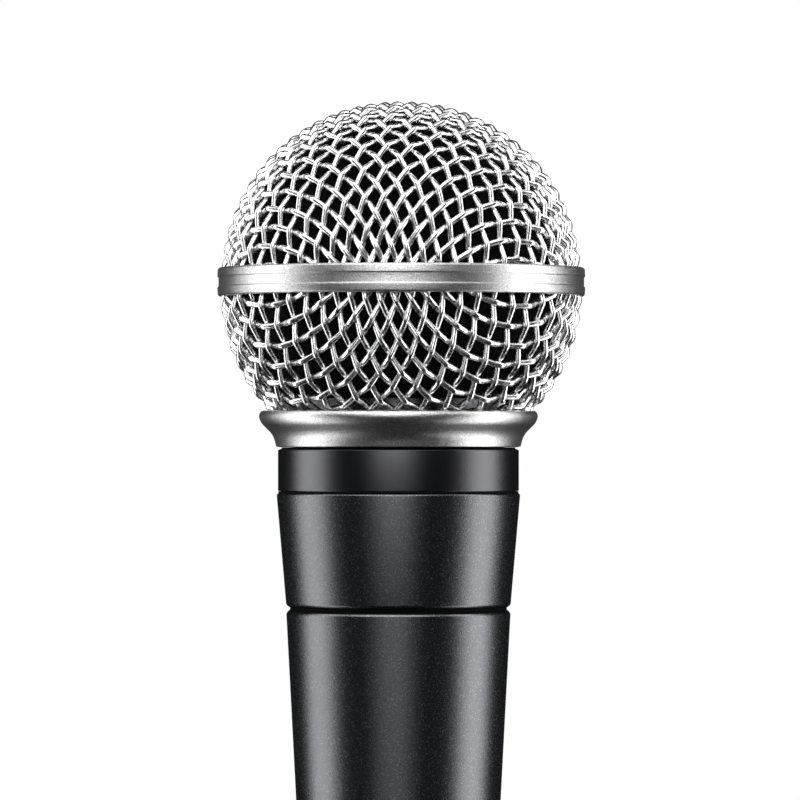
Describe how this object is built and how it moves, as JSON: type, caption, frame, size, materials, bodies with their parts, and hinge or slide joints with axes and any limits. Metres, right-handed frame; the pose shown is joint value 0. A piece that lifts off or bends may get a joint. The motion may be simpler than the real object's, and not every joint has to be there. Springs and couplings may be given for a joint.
{
  "type": "dynamic microphone",
  "caption": "Handheld dynamic vocal microphone with a woven steel ball grille, a shock-mounted moving-coil cartridge, a tapered metal handle and a plug socket in its end.",
  "frame": {"origin": "centre of the socket's rim, at the lowest plane of the handle", "axes": "+Z along the microphone from the socket to the top of the ball; +Y towards the latch notch; the lock screw is on the -Y side"},
  "size_m": [0.051, 0.051, 0.162],
  "materials": {
    "bright_wire": "polished",
    "satin_nickel": "satin",
    "foam": "matte",
    "black_paint": "satin",
    "ring_black": "satin",
    "rubber": "matte",
    "black_plastic": "matte",
    "silk": "matte",
    "steel": "satin",
    "magnet_alloy": "satin",
    "film": "gloss",
    "copper": "satin",
    "brass": "polished",
    "green_insulation": "satin",
    "yellow_insulation": "satin",
    "black_insulation": "satin",
    "amber_potting": "satin"
  },
  "bodies": {
    "handle": {"handle_barrel": "black_paint", "socket_insulator": "black_plastic", "contact_pin_1": "brass", "contact_pin_2": "brass", "contact_pin_3": "brass", "lock_screw": "steel", "ground_spring": "brass", "transformer_core": "steel", "transformer_bobbin": "black_plastic", "transformer_winding": "copper", "potting_ring": "amber_potting", "lead_pin_1": "black_insulation", "lead_pin_2": "black_insulation", "lead_pin_3": "black_insulation"},
    "leads": {"lead_green": "green_insulation", "lead_yellow": "yellow_insulation"},
    "housing": {"cartridge_housing": "black_paint", "name_ring": "ring_black", "retaining_ring": "steel", "shock_mount": "rubber"},
    "cartridge": {"resonator_cap": "black_plastic", "cap_screen": "silk", "cartridge_case": "black_plastic", "side_screen": "silk", "magnet_yoke": "steel", "magnet": "magnet_alloy", "pole_piece": "steel", "front_plate": "steel", "spacer_ring": "black_plastic", "rear_chamber": "black_plastic", "terminal_board": "black_plastic", "terminal_green": "brass", "terminal_yellow": "brass"},
    "diaphragm_and_coil": {"diaphragm": "film", "voice_coil": "copper"},
    "windscreen": {"foam_windscreen": "foam"},
    "grille": {"grille_dome": "bright_wire", "grille_bowl": "bright_wire", "grille_band": "satin_nickel", "grille_collar": "satin_nickel"}
  },
  "joints": [
    {"name": "housing_lift", "type": "slide", "parent": "handle", "child": "leads", "axis": [0, 0, 1], "range_m": [0, 0.0051], "deforming": ["lead_green", "lead_yellow"]},
    {"name": "housing_turn", "type": "hinge", "parent": "leads", "child": "housing", "pos_m": [0, 0, 0.1], "axis": [0, 0, 1], "range_deg": [0, 1440]},
    {"name": "cartridge_float", "type": "slide", "parent": "housing", "child": "cartridge", "axis": [0, 0, 1], "range_m": [-0.0008, 0.0008], "stiffness_N_per_m": 3800},
    {"name": "diaphragm_travel", "type": "slide", "parent": "cartridge", "child": "diaphragm_and_coil", "axis": [0, 0, 1], "range_m": [-0.0002, 0.0002], "stiffness_N_per_m": 90},
    {"name": "grille_lift", "type": "slide", "parent": "housing", "child": "windscreen", "axis": [0, 0, 1], "range_m": [0, 0.0038]},
    {"name": "grille_turn", "type": "hinge", "parent": "windscreen", "child": "grille", "pos_m": [0, 0, 0.1369], "axis": [0, 0, 1], "range_deg": [0, 1080]}
  ],
  "couplings": [
    {"joint": "housing_lift", "follows": "housing_turn", "m_per_rad": 0.00019894},
    {"joint": "grille_lift", "follows": "grille_turn", "m_per_rad": 0.00019894}
  ]
}
